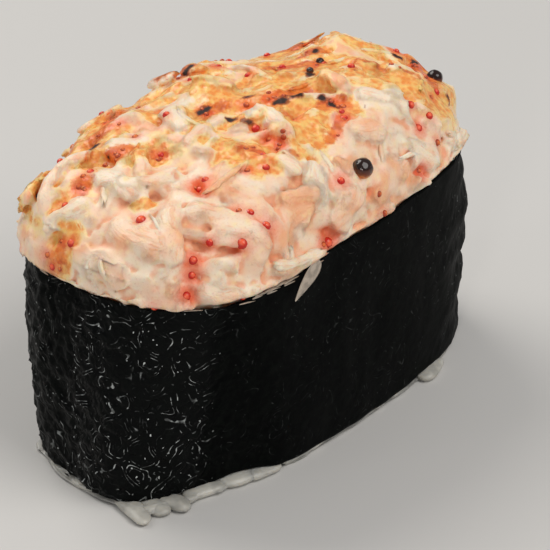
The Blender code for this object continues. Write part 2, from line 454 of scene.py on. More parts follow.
# %% One grain, and where the grains go
GRAIN_LENGTH = 5.6 * MM
GRAIN_WIDTH = 2.5 * MM
grain_ball = bpy.data.meshes.new("grain_ball")
ball = bmesh.new()
bmesh.ops.create_uvsphere(ball, u_segments=12, v_segments=9, radius=0.5)
ball.to_mesh(grain_ball)
ball.free()
grain_template = np.array([vert.co for vert in grain_ball.vertices])


def grain_points(centre, heading, length, width, height, bend, dice):
    """The points of one grain: its ball stretched along the heading, bent, and never below the table."""
    along = Vector((math.cos(heading), math.sin(heading)))
    points = []
    for x, y, z in grain_template:
        share = abs(2 * z)
        blunt = max(1 - share ** 3, 0.0) ** 0.45 / max(1 - share ** 2, 0.04) ** 0.5
        x, y = x * blunt, y * blunt
        lengthways, sideways = z * length, x * width + bend * (4 * z * z - 0.5)
        flat = Vector(centre[:2]) + along * lengthways + Vector((-along.y, along.x)) * sideways
        dent = noise.noise(Vector((x, y, z)) * 3 + Vector((dice, 0, 0))) * 0.12 * MM
        points.append(Vector((flat.x, flat.y, max(centre[2] + y * height + dent, 0.0))))
    return points


# %% [markdown]
# The grains that were squeezed out are placed one by one, like a cook's crumbs: each is a direction
# round the foot, how far its middle lies outside the band, the way it points, and its length.

# %% Scatter the grains
SPLAYED_GRAINS = (  # direction, millimetres outside the band, heading, length in millimetres
    (196, 1.3, 253, 5.6),
    (199.5, 0.9, 258, 4.0),
    (203, 1.3, 275, 4.0),
    (208.5, 0.6, 343, 5.0),
    (217, 0.1, 343, 4.4),
    (224.5, -0.3, 348, 4.4),
    (316, 0.0, 20, 5.2),
    (20, 0.3, 300, 5.0),
    (75, 0.1, 350, 5.0),
    (118, 0.6, 20, 5.4),
    (124, 0.2, 60, 4.6),
)


def foot_radius(angle):
    """The band's outer radius at its foot."""
    return float(by_angle(band_radius[0], angle)) + CAD_WALL


def make_rice_grains(material):
    dice = random.Random(11)
    rice_skin, shape = skin_of("rice")
    shape.free()
    laid = []
    for _ in range(6000):
        angle, share = dice.uniform(0, TURN), math.sqrt(dice.random())
        hit = rice_skin.ray_cast(Vector((0, 0, 0.25 * MM)), (math.cos(angle), math.sin(angle), 0))
        reach = min(hit[3], foot_radius(angle) + 0.3 * MM) - 0.9 * MM
        spot = Vector((math.cos(angle), math.sin(angle))) * reach * share
        if all((spot - other[0]).length > 2.35 * MM for other in laid):
            rim = share > 0.9
            heading = angle + math.pi / 2 + dice.uniform(-0.5, 0.5) if rim else dice.uniform(0, TURN)
            laid.append((spot, heading))
    grains = copies_of(grain_ball, len(laid) + len(SPLAYED_GRAINS))
    count = len(grain_template)
    for index, (spot, heading) in enumerate(laid):
        height = dice.uniform(1.7, 2.1) * MM
        length = GRAIN_LENGTH * dice.uniform(0.85, 1.1)
        centre = (spot.x, spot.y, height * 0.42)
        bend = dice.uniform(-0.35, 0.35) * MM
        points = grain_points(centre, heading, length, GRAIN_WIDTH, height, bend, index)
        for vert, point in zip(grains.verts[index * count:(index + 1) * count], points):
            angle = math.atan2(point.y, point.x)
            radius, flat = foot_radius(angle), Vector((point.x, point.y))
            if flat.length > radius - CAD_WALL - 0.2 * MM:
                point.z = min(point.z, float(by_angle(band_low, angle)) - 0.12 * MM)
            most = radius - 0.15 * MM + 0.4 * MM * max(0.0, 1 - abs(math.degrees(angle) % 360 - 182) / 11)
            if flat.length > most:
                point.x, point.y = flat.normalized() * most
            vert.co = point
    for index, (degrees, outside, heading, length) in enumerate(SPLAYED_GRAINS, len(laid)):
        angle = math.radians(degrees)
        radius = foot_radius(angle) + outside * MM
        height = dice.uniform(0.9, 1.2) * MM
        centre = (radius * math.cos(angle), radius * math.sin(angle), height * 0.42)
        bend = dice.uniform(-0.4, 0.4) * MM
        points = grain_points(centre, math.radians(heading), length * MM, 2.3 * MM, height, bend, index)
        for vert, point in zip(grains.verts[index * count:(index + 1) * count], points):
            turn = math.atan2(point.y, point.x)
            flat = Vector((point.x, point.y))
            if flat.length < foot_radius(turn) + 0.12 * MM:
                point.z = min(point.z, float(by_angle(band_low, turn)) - 0.1 * MM)
            vert.co = point
    return add_piece("rice_grains", grains, material)


cooked_rice = rice_material()
rice_core = make_rice_core(cooked_rice)
rice_grains = make_rice_grains(cooked_rice)
print("rice grains:", len(rice_grains.data.vertices) // len(grain_template))

# %% [markdown]
# ## The salad
# A crab stick is a roll of pressed fibres, so it tears into flat flakes and thinner shreds. Tossed in
# mayonnaise they lie at every angle, half sunk in cream, with soft lips and creases between them, which
# are darkened with painted shade.
# It is built the way it is plated: a smaller core first, then hundreds of flakes that follow the
# heap's own surface. A voxel remesh then melts the pile into one skin, as the cream does. What is
# crisp, loose or shiny stays separate: shreds on top, scraps on the rim, roe and burnt bubbles.

# %% The heap's surface
heap_skin, heap_shape = skin_of("topping")
HEAP_TOP = 40 * MM


def on_heap(x, y, z=None):
    """The surface point and its normal above a place in plan, or nearest to a place on a steep side."""
    spot = None
    if z is None:
        spot, normal, _, _ = heap_skin.ray_cast(Vector((x * MM, y * MM, HEAP_TOP)), Vector((0, 0, -1)))
    if spot is None:
        spot, normal, _, _ = heap_skin.find_nearest(Vector((x, y, 25 if z is None else z)) * MM)
    return spot, normal


# %% [markdown]
# A flake is a ball pulled out into a slab with rounded edges. Its spine creeps over the heap: each
# ring of the ball is moved to the nearest surface point, so that long pieces bend over the shoulder
# and down the side. Roll lifts one long edge and pitch lifts one end, which is what makes the lips.

# %% One flake
flake_ball = bpy.data.meshes.new("flake_ball")
ball = bmesh.new()
bmesh.ops.create_uvsphere(ball, u_segments=12, v_segments=12, radius=1.0)
ball.to_mesh(flake_ball)
ball.free()
flake_template = np.array([vert.co for vert in flake_ball.vertices])
ring_heights, ring_of_point = np.unique(np.round(flake_template[:, 2], 4), return_inverse=True)
ring_of_point = ring_of_point.ravel()
point_turn = np.arctan2(flake_template[:, 1], flake_template[:, 0])


class Flake:
    """One flake: where its spine runs over the heap, and the frame that each ring of points sits in."""

    def __init__(self, spot, normal, heading, length, width, thickness, lift, roll, pitch, dice):
        self.length, self.width, self.thickness = length * MM, width * MM, thickness * MM
        self.tone = dice.random()
        forward = Quaternion(normal, heading) @ normal.orthogonal().normalized()
        self.lay_spine(spot, normal, forward, dice.uniform(-0.12, 0.12) * self.length)
        self.pose(lift * MM, roll, pitch * MM, dice)

    def lay_spine(self, spot, normal, forward, bend):
        sideways = normal.cross(forward)
        self.spine, self.normals = [], []
        for share in ring_heights:
            free = spot + forward * (share * self.length / 2) + sideways * bend * (share ** 2 - 0.4)
            place, up, _, _ = heap_skin.find_nearest(free)
            self.spine.append(place)
            self.normals.append(up)
        self.spine, self.normals = np.array(self.spine), np.array(self.normals)
        along = np.gradient(self.spine, axis=0)
        self.along = along / np.linalg.norm(along, axis=1, keepdims=True)
        self.across = np.cross(self.normals, self.along)
        self.across /= np.linalg.norm(self.across, axis=1, keepdims=True)
        self.normals = np.cross(self.along, self.across)

    def pose(self, lift, roll, pitch, dice):
        """Places the points: slab-shaped rings, rolled and lifted from the surface."""
        share = ring_heights[ring_of_point]
        ends = (1 - np.abs(share) ** 4.0) ** (1 / 4.0)
        side = np.cos(point_turn)
        wobble = 1 + 0.20 * np.sin(share * dice.uniform(2, 5) + side * 1.5 + dice.uniform(0, TURN))
        wobble += 0.16 * np.sin(share * dice.uniform(7, 12) + side * 3.0 + dice.uniform(0, TURN))
        wide = side * ends * wobble * self.width / 2
        high = np.sin(point_turn) * ends ** 0.7 * self.thickness / 2
        twist = roll + dice.uniform(-0.35, 0.35) * share
        rise = lift + pitch * share + dice.uniform(-0.2, 0.25) * MM * share ** 2
        outwards = wide * np.sin(twist) + high * np.cos(twist) + rise
        sideways = wide * np.cos(twist) - high * np.sin(twist)
        torn = 0.13 * np.sin(side * dice.uniform(4, 8) + dice.uniform(0, TURN)) * share ** 2
        rings = ring_of_point
        self.points = self.spine[rings] + self.along[rings] * (torn * min(self.length, 5 * MM))[:, None]
        self.points = self.points + self.across[rings] * sideways[:, None]
        self.points = self.points + self.normals[rings] * outwards[:, None]
        self.tuck_into_band()
        self.grain = np.stack([share * self.length / 2, sideways, np.full(len(share), self.tone)], 1)

    def tuck_into_band(self):
        """Below the band's rim nothing may reach its wall, and just above it little may overhang."""
        turn = np.arctan2(self.points[:, 1], self.points[:, 0])
        rim = by_angle(band_high, turn)
        inside = wall_points(turn, np.full(len(turn), 0.97))
        wall = np.hypot(inside[:, 0], inside[:, 1])
        clear = smooth_step(self.points[:, 2] - rim, -0.1 * MM, 0.5 * MM)
        most = wall - 0.15 * MM + clear * 0.9 * MM + (clear >= 1) * 1.3 * MM
        reach = np.hypot(self.points[:, 0], self.points[:, 1])
        self.points[:, :2] *= np.minimum(1, most / reach)[:, None]


# %% [markdown]
# The flakes that give this piece its look are listed one by one, in millimetres on the plan: two lumps
# that hang over the near end, the white ridges, a long strand along the front rim, and the broad
# smooth faces of the front. The rest are thrown on at random with an even spacing. A last row is laid
# along both long sides of the rim, so that no gap shows between the salad and the seaweed.

# %% Flakes placed one by one
PLACED_FLAKES = (  # x, y, z on steep sides, heading, length, width, thickness, lift, roll, pitch
    (-27, 6, 25.5, 80, 4.4, 2.8, 1.8, -0.2, 0.1, 0.0),
    (-26, 8, 26.5, 60, 3.4, 2.2, 1.6, 0.1, 0.2, 0.0),
    (-26.5, 3.5, 24.5, 85, 4.4, 2.4, 1.6, -0.1, 0.0, 0.2),
    (-21, 7, None, 0, 9.5, 1.3, 1.3, 0.5, -0.2, 0.0),
    (-21.8, 9.6, 28.5, 200, 5.5, 3.6, 2.2, 1.0, -0.1, 0.0),
    (-24.5, 3, None, -30, 5.5, 2.2, 1.5, 0.4, 0.2, 0.0),
    (-26, -3, 26.5, -98, 6.8, 3.4, 1.7, 0.25, 0.15, 0.0),
    (-23, -5.5, None, -95, 7.2, 3.2, 1.6, 0.3, 0.1, 0.0),
    (-19.5, 1, None, -87, 5.8, 2.6, 1.6, 0.5, 0.2, 0.2),
    (-17, -2, None, -26, 5.4, 1.7, 1.4, 0.5, 0.1, 0.0),
    (-15.5, 1, None, -134, 4.6, 1.9, 1.4, 0.4, 0.2, 0.0),
    (-8.5, -0.5, None, 15, 5.4, 2.2, 1.5, 0.4, 0.2, 0.0),
    (-21, -8, None, -137, 7.4, 2.6, 1.6, 0.3, 0.25, 0.0),
    (-7, 3.5, None, -130, 6.0, 2.8, 1.5, 0.4, 0.1, 0.0),
    (10, 8, None, -99, 5.0, 2.4, 1.5, -0.1, 0.3, 0.2),
    (20.5, 1, None, -45, 4.2, 2.4, 1.6, 0.1, 0.1, 0.2),
    (21.5, -1.5, None, -60, 3.2, 1.4, 1.2, 0.1, 0.2, 0.0),
    (15, 1, None, -60, 5.0, 1.2, 1.1, 0.2, 0.1, 0.0),
    (0.5, 5.5, None, -75, 4.4, 2.4, 1.6, 0.5, 0.2, 0.0),
    (-1.5, -4.5, None, -109, 6.4, 2.4, 1.4, 0.4, 0.3, 0.0),
    (10.5, -9.5, None, -52, 5.4, 3.6, 1.6, 0.3, 0.1, 0.0),
    (5, -11.5, None, -39, 4.6, 2.6, 1.5, 0.4, 0.2, 0.0),
    (5, -14, 27.5, -160, 6.6, 4.0, 1.6, 0.2, 0.1, 0.0),
    (11.5, -13.5, 27.5, -50, 5.0, 3.4, 1.6, 0.2, 0.0, 0.0),
    (18.5, -12.5, 26, 18, 4.6, 2.4, 1.6, 0.1, 0.1, 0.0),
    (-2.5, -14.3, 27.5, -117, 5.2, 3.8, 1.6, 0.25, 0.1, 0.0),
    (-8.5, -13.2, 28.5, -168, 4.4, 3.0, 1.6, 0.3, 0.2, 0.0),
    (-10, -15, 24.2, 0, 8.6, 1.7, 1.5, 0.45, 0.1, 0.0),
    (-16.5, -10, 30, -60, 5.6, 2.6, 1.5, 0.3, 0.2, 0.0),
    (-16, -12.5, 28.4, -62, 6.0, 3.2, 1.6, 0.3, 0.1, 0.0),
    (-7.8, -12.6, 29.8, -18, 4.6, 1.9, 1.3, 0.5, 0.3, 0.1),
    (9, -4, None, -110, 3.6, 2.0, 1.5, 0.5, 0.0, 0.0),
    (-7, -10, None, -65, 3.8, 1.9, 1.3, 0.6, 0.3, 0.3),
    (-26.5, -2, 24, -81, 7.5, 2.2, 1.5, 0.3, 0.1, 0.0),
    (-24.5, -9.5, 23.5, -53, 6.4, 2.4, 1.5, 0.3, 0.0, 0.0),
    (-18.5, -13.5, 24, -20, 7.2, 2.2, 1.4, 0.3, 0.1, 0.0),
    (0.2, 11.8, None, 100, 3.0, 2.6, 2.2, 1.2, 0.1, 0.0),
    (3.0, 10.3, None, 70, 3.0, 2.4, 2.0, 0.5, 0.1, 0.0),
)


def aimed(x, y, z, heading, length, width, thickness, lift, roll, pitch, dice):
    """A flake whose heading is a compass angle on the plan, not a random turn."""
    spot, normal = on_heap(x, y, z)
    wanted = Vector((math.cos(math.radians(heading)), math.sin(math.radians(heading)), 0))
    if abs(normal.z) < 0.5:
        wanted.z = -0.2
    start = normal.orthogonal().normalized()
    level = (wanted - normal * wanted.dot(normal)).normalized()
    turn = math.atan2(start.cross(level).dot(normal), start.dot(level))
    return Flake(spot, normal, turn, length, width, thickness, lift, roll, pitch, dice)


# %% Throw the other flakes on
def spots_on_heap(count, gap, dice, lowest):
    """Random surface points with outward normals, no closer to each other than the gap."""
    chosen = []
    faces = [face for face in heap_shape.faces if face.calc_center_median().z > lowest]
    weights = [face.calc_area() for face in faces]
    for face in dice.choices(faces, weights, k=count * 30):
        corners = [loop.vert.co for loop in face.loops]
        first, second = sorted((dice.random(), dice.random()))
        spot = corners[0] * first + corners[1] * (second - first) + corners[2] * (1 - second)
        if face.normal.z > -0.3 and all((spot - other[0]).length > gap for other in chosen):
            chosen.append((spot, face.normal.copy()))
            if len(chosen) == count:
                break
    return chosen


RIM_STEP = 14  # degrees from one rim flake to the next
HALF_LENGTH, HALF_WIDTH, STRAIGHT_SIDE = 28, 15, 21  # of the band, in millimetres


def throw_flakes(dice):
    """Listed flakes, broad ones, thin ones, and a row along the rim, less any with no run."""
    flakes = [aimed(*row, dice) for row in PLACED_FLAKES]
    lowest = float(band_high.min()) - 1.0 * MM
    for spot, normal in spots_on_heap(330, 1.75 * MM, dice, lowest):
        flank = spot.x > 1 * MM and spot.y < -9 * MM
        width = dice.uniform(2.0, 4.0) + flank * 0.8
        length = width * dice.uniform(1.3, 2.4) + 1.0
        thickness = dice.uniform(1.0, 1.6)
        far = 0.25 * (spot.y > 4 * MM) + 0.25 * (abs(spot.x) > 21 * MM)
        lift = dice.uniform(-0.85, -0.15) - far
        roll = dice.gauss(0, 0.28) * (1 - 0.6 * flank)
        pitch = dice.gauss(0, 0.3)
        turn = dice.uniform(0, TURN)
        flakes.append(Flake(spot, normal, turn, length, width, thickness, lift, roll, pitch, dice))
    for spot, normal in spots_on_heap(150, 2.2 * MM, dice, lowest):
        width = dice.uniform(0.7, 1.3)
        length = dice.uniform(4.5, 8.5)
        lift = dice.uniform(-0.35, 0.15)
        turn, pitch = dice.uniform(0, TURN), dice.gauss(0, 0.3)
        flakes.append(Flake(spot, normal, turn, length, width, width * 0.8, lift, 0.0, pitch, dice))
    for degrees in range(0, 360, RIM_STEP):
        angle = np.array([math.radians(degrees + dice.uniform(-4, 4))])
        x, y, z = wall_points(angle, np.array([1.0]))[0] / MM
        heading = math.degrees(math.atan2(-x * HALF_WIDTH ** 2, y * HALF_LENGTH ** 2)) + dice.gauss(0, 8)
        length, width = dice.uniform(4.0, 7.0), dice.uniform(1.5, 2.2)
        lift, z = dice.uniform(0.2, 0.5), z + dice.uniform(0.2, 0.7)
        if abs(x) < STRAIGHT_SIDE:
            flakes.append(aimed(x, y, z, heading, length, width, 1.4, lift, 0.1, 0.0, dice))
    flakes.append(aimed(-8, 12.8, None, 160, 5.5, 2.6, 1.8, 1.3, 0.1, 0.0, dice))
    return [flake for flake in flakes if np.isfinite(flake.points).all()]


flakes = throw_flakes(random.Random(23))
print("flakes in the pile:", len(flakes))

# %% [markdown]
# The core is the heap itself, made a little thinner. Remeshing the core and the flakes together keeps
# only the outer skin, and a few rounds of smoothing make it creamy. Where the pile stands too proud of
# the heap, on the far side and at the near end, it is pressed back. The points are then read as arrays,
# because all that is painted on the salad depends on where a point lies: on a crest or in a crease,
# and on which flake.

# %% Melt the pile into one skin
VOXEL = 0.25 * MM
CORE_SHRINK = 0.75 * MM
CREAM_ROUNDS = 3


def drop_islands(skin):
    """Keeps the largest connected part: no crumbs in the air and no pockets inside."""
    left, largest = set(skin.verts), []
    while left:
        island, front = [], [left.pop()]
        while front:
            vert = front.pop()
            island.append(vert)
            for edge in vert.link_edges:
                other = edge.other_vert(vert)
                if other in left:
                    left.discard(other)
                    front.append(other)
        if len(island) > len(largest):
            largest = island
    kept = set(largest)
    bmesh.ops.delete(skin, geom=[vert for vert in skin.verts if vert not in kept], context="VERTS")


def sink(skin):
    """Presses the far side and the near end back towards the heap's own surface, lumps most of all."""
    x, y, z = np.array([vert.co for vert in skin.verts]).T / MM
    far = np.maximum(smooth_step(y + 0.7 * x, 6, 12), smooth_step(y, 8, 11))
    far *= smooth_step(z - by_angle(band_high, np.arctan2(y, x)) / MM, 0.3, 2.5)
    end = smooth_step(-x, 24, 26.5)
    for vert, press, tip in zip(skin.verts, np.maximum(far, end), end):
        if press > 0:
            place, normal, _, _ = heap_skin.find_nearest(vert.co)
            proud = max((vert.co - place).dot(normal), 0.0)
            spike = max(proud - 0.8 * MM, 0.0) * tip
            vert.co -= normal * press * (0.5 * proud + 0.25 * MM + 0.45 * spike)


def melt(flakes):
    """One creamy skin round the core and all the flakes, closed underneath."""
    pile = copies_of(flake_ball, len(flakes))
    points = np.concatenate([flake.points for flake in flakes])
    for vert, point in zip(pile.verts, points):
        vert.co = point
    core = heap_shape.copy()
    floor_height = float(band_high.min()) - 3.0 * MM
    for vert in core.verts:
        vert.co -= vert.normal * CORE_SHRINK
        vert.co.z = max(vert.co.z, floor_height)
    carrier = bpy.data.meshes.new("core")
    core.to_mesh(carrier)
    core.free()
    pile.from_mesh(carrier)
    pile.to_mesh(carrier)
    pile.free()
    holder = bpy.data.objects.new("pile", carrier)
    bpy.context.scene.collection.objects.link(holder)
    remesh = holder.modifiers.new("melt", "REMESH")
    remesh.mode = "VOXEL"
    remesh.voxel_size = VOXEL
    bpy.context.view_layer.update()
    solid = bpy.data.meshes.new_from_object(holder.evaluated_get(bpy.context.evaluated_depsgraph_get()))
    bpy.data.objects.remove(holder)
    skin = bmesh.new()
    skin.from_mesh(solid)
    cut = {"plane_co": (0, 0, floor_height + 0.6 * MM), "plane_no": (0, 0, 1), "clear_inner": True}
    bmesh.ops.bisect_plane(skin, geom=skin.verts[:] + skin.edges[:] + skin.faces[:], **cut)
    drop_islands(skin)
    for _ in range(CREAM_ROUNDS):
        inside = [vert for vert in skin.verts if not vert.is_boundary]
        axes = {"use_axis_x": True, "use_axis_y": True, "use_axis_z": True}
        bmesh.ops.smooth_vert(skin, verts=inside, factor=0.5, **axes)
    sink(skin)
    bmesh.ops.holes_fill(skin, edges=[edge for edge in skin.edges if edge.is_boundary])
    bmesh.ops.recalc_face_normals(skin, faces=skin.faces)
    return skin


salad_skin = melt(flakes)
print("melted skin:", len(salad_skin.faces), "faces")


# %% [markdown]
# ## What the flame did
# A torch leaves its marks where it lingered: a golden glaze where the mayonnaise ran into the hollows
# and fried, orange-brown streaks, and black on the thinnest tips. The roe leaks a red halo into the
# cream. Each mark is a stroke between two places on the plan, and noise breaks its outline. A stroke
# of char also thins out towards its ends.

# %% Strokes of the flame, in millimetres: from x, y to x, y, and how wide
GLAZED = (
    (-22, 9, -18, 11, 2.4), (-27, 1.8, -25.4, 1.8, 1.4), (-12.6, 2.4, -13, 1, 1.4), (-3, 3, 0, 1.5, 2.2),
    (-3, -1, -1, -3.5, 1.5), (-0.5, -7.6, 3, -4.5, 2.9), (4, -1.5, 7, -3, 2.0), (5, 2.5, 11, 4, 2.0),
    (10, 1.5, 13, 0.5, 2.2), (13, 0.5, 16, -6, 1.9), (16, -6, 18, -11, 1.8), (10.5, 6.5, 12, 4.5, 2.4),
    (-8.5, -6, -7, -7.5, 2.1), (19, -11, 22, -9, 2.0), (23.5, -6, 24, -1, 1.8),
    (-20, -3, -19.5, -3.6, 0.8), (-18, 12, -14, 12.5, 2.2), (-6, 11, -3, 13, 2.0), (8, 13, 12, 12, 2.2),
    (16, 9, 19, 6, 2.4), (22, 6, 25, 4, 2.0), (-22.6, 4, -24, 4.4, 1.0), (-7.2, 7.8, -5.8, 6.8, 1.3),
    (-9, -9.5, -7, -9, 1.3), (-17, 6, -14.5, 3, 2.0), (20, -5, 23, -2, 1.5), (-19.5, 9.6, -14, 9.8, 1.6),
    (4.5, -6.5, 6, -8, 1.7), (14, -6, 17, -9.5, 2.3), (15, -7, 16.5, -10.5, 2.2), (11, -2, 13, -4, 1.6),
    (-9, -2.4, -8, -3.6, 1.2), (1, 6, 3.5, 8.5, 1.8),
)
TOASTED = (
    (-17, 6, -14.5, 3.7, 1.3), (-22, 3.5, -20.5, 4.2, 1.3), (-23, 9, -20.5, 9.8, 1.0),
    (-3.4, 3, -1.6, 1.8, 1.1), (-13, 10, -11.5, 9.6, 1.3), (2, -1, 6.5, -2.5, 1.1),
    (4.6, -6, 6.8, -6.6, 1.1), (-3, -3.4, -4, -9, 0.8), (20, -8, 23.5, -4, 1.6),
    (10.5, 0.5, 12.5, 1.4, 0.9), (8.5, 4.5, 12, 2, 1.0), (0, 12, 2.5, 10.5, 1.3),
    (-10.4, 10.6, -7.5, 11, 1.1), (-15, -6.5, -14.4, -6, 1.0), (15.5, -2, 18, -8, 0.8),
    (-8, -6, -6.5, -8.5, 0.8), (-16, 13, -14, 12.4, 1.2), (10, 13, 12, 12.6, 1.2), (17, 9, 19, 7.6, 1.4),
    (1, -10, 4.6, -9, 1.0), (-26.9, 1.6, -26.4, 2.2, 0.9), (-13.4, 1.4, -12.4, 0.6, 0.9),
    (13.5, 4, 16, 2.6, 0.9),
)
CHARRED = (
    (-14.4, 9.5, -13.8, 8.7, 0.8), (-16.2, 5.4, -15.6, 4.8, 0.4), (-4, 3.7, -2.8, 2.7, 0.6),
    (1.8, -2.4, 3.6, -2.5, 0.6), (3.6, -2.5, 4.6, -3.9, 0.6), (0.4, 1, 1.4, 0.6, 0.7),
    (5.4, -4.8, 6.3, -5.6, 0.5), (6.3, -5.6, 5.4, -7.3, 0.5), (-2.9, 0.2, -2.6, -1.6, 0.6),
    (-2.6, -1.6, -3.3, -3.7, 0.5), (12, -2.9, 13.4, -4, 0.5), (22.4, -1.8, 22.3, -2.6, 0.6),
    (21.2, -9.8, 21.7, -10.2, 0.6), (2.2, 10.5, 2.7, 10, 0.8), (9, -0.4, 9.1, -1.5, 0.7),
    (-9, 11.2, -8.4, 10.9, 0.5), (-0.3, 12.3, 0.1, 12, 0.9), (18.6, 8.6, 19.4, 7.6, 0.7),
    (10.6, 13, 11.4, 12.7, 0.7), (-15.4, 12.8, -14.8, 12.5, 0.7), (7.5, -9.4, 7.9, -9.6, 0.45),
    (23.6, -3.6, 23.9, -3, 0.7), (11.2, -11.2, 11.4, -11.5, 0.4), (-22.6, 9, -21.4, 9.6, 0.4),
    (14.6, 3.2, 15.4, 2.8, 0.45),
)


def stroke_depth(points, strokes, ripple, taper=0.0):
    """How deep each point lies within the nearest stroke: 1 on its line and 0 at its side."""
    deepest = np.full(len(points), -1.0)
    for x0, y0, x1, y1, radius in strokes:
        start, end = np.array(on_heap(x0, y0)[0]), np.array(on_heap(x1, y1)[0])
        way = end - start
        share = np.clip((points - start) @ way / max(way @ way, 1e-12), 0, 1)
        away = np.linalg.norm(points - start - share[:, None] * way, axis=1)
        deepest = np.maximum(deepest, 1 - away / (radius * MM * (1 - taper * (2 * share - 1) ** 2)))
    return np.clip(deepest + ripple * (deepest > -0.6), 0, 1)

# %% [markdown]
# ## Roe, and where it lies
# The eggs are about a millimetre across. Those that can be seen lie where they were dropped: singly on
# the front, in red clumps along the creases, and toasted in streaks. A few dozen more are strewn over
# the rest. They are listed before the skin is painted, because each one stains the cream round it.

# %% Places of the eggs
PLACED_ROE = (  # x, y, z on steep sides, millimetres across
    (-26, 1, None, 1.1), (-27, 2.5, 24.8, 1.0), (-23.5, 4.3, None, 0.9), (-21.3, -4.4, None, 1.2),
    (1.7, 8.3, None, 1.1), (-0.1, 0.2, None, 1.0), (2, -1.2, None, 0.9), (2.8, -1.3, None, 0.8),
    (0.8, -5.1, None, 0.9), (4.6, -9, None, 1.2), (5.4, -8, None, 1.0), (6.2, -7.4, None, 0.9),
    (-3, -3.6, None, 1.1), (-3.6, -5, None, 0.8), (-3.9, -6.2, None, 0.9), (-4.1, -7.2, None, 0.8),
    (-4, -8.3, None, 0.9), (-14.7, -6.2, None, 1.4), (-14, -6.8, None, 0.9), (-13.6, -11.7, None, 1.3),
    (-13.3, -13.4, 29, 1.2), (-14.2, -11, None, 0.9), (-16.7, -13.1, 28.4, 1.3),
    (-18.9, -11.1, None, 1.0), (-21.1, -10.8, 27.7, 1.1), (-21.7, -11.2, 26.5, 1.0),
    (-22.7, -11.2, 24.6, 1.0), (-24.8, -9, 23.6, 1.0), (-5.2, -14.9, 24.5, 1.3), (-6, -14.8, 24.6, 0.8),
    (3, -14.8, 24.6, 1.0), (-1.8, -13.6, 29.5, 1.0), (2.1, -14.7, 27.2, 0.9), (10.6, -14, 26.1, 1.0),
    (13.1, -10.8, None, 1.0), (14.7, -12.1, None, 1.1), (12.6, -12.4, None, 1.1),
    (14.4, -13.5, 27.8, 0.9), (13.3, -3, None, 1.0), (14, -2.5, None, 0.8), (23.8, -0.9, None, 1.1),
    (22.6, -4, None, 0.9), (20.8, -7, None, 1.0), (19.8, -9.4, None, 1.0), (18.2, -10.6, None, 0.9),
    (13.2, 1, None, 1.0), (-17.5, -13.8, 23.6, 1.0), (-10.2, -8.5, None, 0.9), (-7.4, -8.2, None, 1.0),
    (-8.6, -9.6, None, 0.9), (-12.8, 1, None, 0.9), (10, 3.8, None, 1.0), (-5.4, 6.8, None, 0.9),
    (-21, 4, None, 0.8), (-21.6, 3.4, None, 0.8), (-20.4, 4.4, None, 0.8), (-16.4, 5.4, None, 0.8),
    (-15.4, 4.6, None, 0.8), (-16.8, 6, None, 0.7), (-14.8, 4, None, 0.7),
)


def place_roe(dice):
    """Every egg as its place, its normal and its width: the listed ones, then strays and clumps."""
    eggs = []
    for x, y, z, across in PLACED_ROE:
        loose = 0.25 if z is None and across < 1 else 0.0
        eggs.append((*on_heap(x + dice.gauss(0, loose), y + dice.gauss(0, loose), z), across * MM))
    lowest = float(band_high.min()) + 1.0 * MM
    strays = [entry for entry in spots_on_heap(120, 3.0 * MM, dice, lowest) if entry[0].y > 3 * MM]
    for spot, normal in strays[:34]:
        if stroke_depth(np.array([spot]), CHARRED, 0.5)[0] == 0:
            eggs.append((spot, normal, dice.uniform(0.8, 1.2) * MM))
    for x0, y0, x1, y1, radius in TOASTED:
        for _ in range(2):
            share = dice.random()
            x, y = x0 + (x1 - x0) * share + dice.gauss(0, 0.6), y0 + (y1 - y0) * share + dice.gauss(0, 0.6)
            eggs.append((*on_heap(x, y), dice.uniform(0.5, 0.79) * MM))
    return eggs


roe_places = place_roe(random.Random(5))
print("eggs:", len(roe_places))

# %% [markdown]
# The melted skin now gets its paint values, one set for each point. Relief is the height over a
# smoothed copy of the same skin: it tells crests from creases, and the material paints shade into the
# hollows and creases. The nearest flake lends its tone and the run of its fibres, both softened where
# one flake meets the next. The strokes become masks: the glaze keeps to the hollows and spares some
# pale flakes, and the char takes to the crests.

# %% Paint values
def smoothed_copy(points, ends, rounds):
    """The skin after each point has moved to the mean of its neighbours many times over."""
    both = np.concatenate([ends, ends[:, ::-1]])
    degree = np.maximum(np.bincount(both[:, 0], minlength=len(points)), 1)
    for _ in range(rounds):
        sums = [np.bincount(both[:, 0], points[both[:, 1], axis], len(points)) for axis in range(3)]
        points = np.stack(sums, 1) / degree[:, None]
    return points


def cloud(points, size, shift):
    """Smooth noise from -1 to 1 whose blotches have the given size in millimetres."""
    return np.array([noise.noise(Vector(point) + Vector((shift, 0, 0))) for point in points / (size * MM)])


def read_skin(skin):
    """The points of a skin, their normals, and the two ends of each edge."""
    points = np.array([vert.co for vert in skin.verts])
    normals = np.array([vert.normal for vert in skin.verts])
    ends = np.array([[vert.index for vert in edge.verts] for edge in skin.edges])
    return points, normals, ends


def flake_values(points):
    """The nearest flake's fibres for each point: how far along and across it lies, and its tone."""
    corners = np.concatenate([flake.points for flake in flakes])
    grain = np.concatenate([flake.grain for flake in flakes])
    along = np.concatenate([flake.along[ring_of_point] for flake in flakes])
    across = np.concatenate([flake.across[ring_of_point] for flake in flakes])
    tree = KDTree(len(corners))
    for index, corner in enumerate(corners):
        tree.insert(corner, index)
    tree.balance()
    nearest = np.array([tree.find(point)[1] for point in points])
    step = points - corners[nearest]
    values = grain[nearest].copy()
    values[:, 0] += np.einsum("ij,ij->i", step, along[nearest])
    values[:, 1] += np.einsum("ij,ij->i", step, across[nearest])
    return values


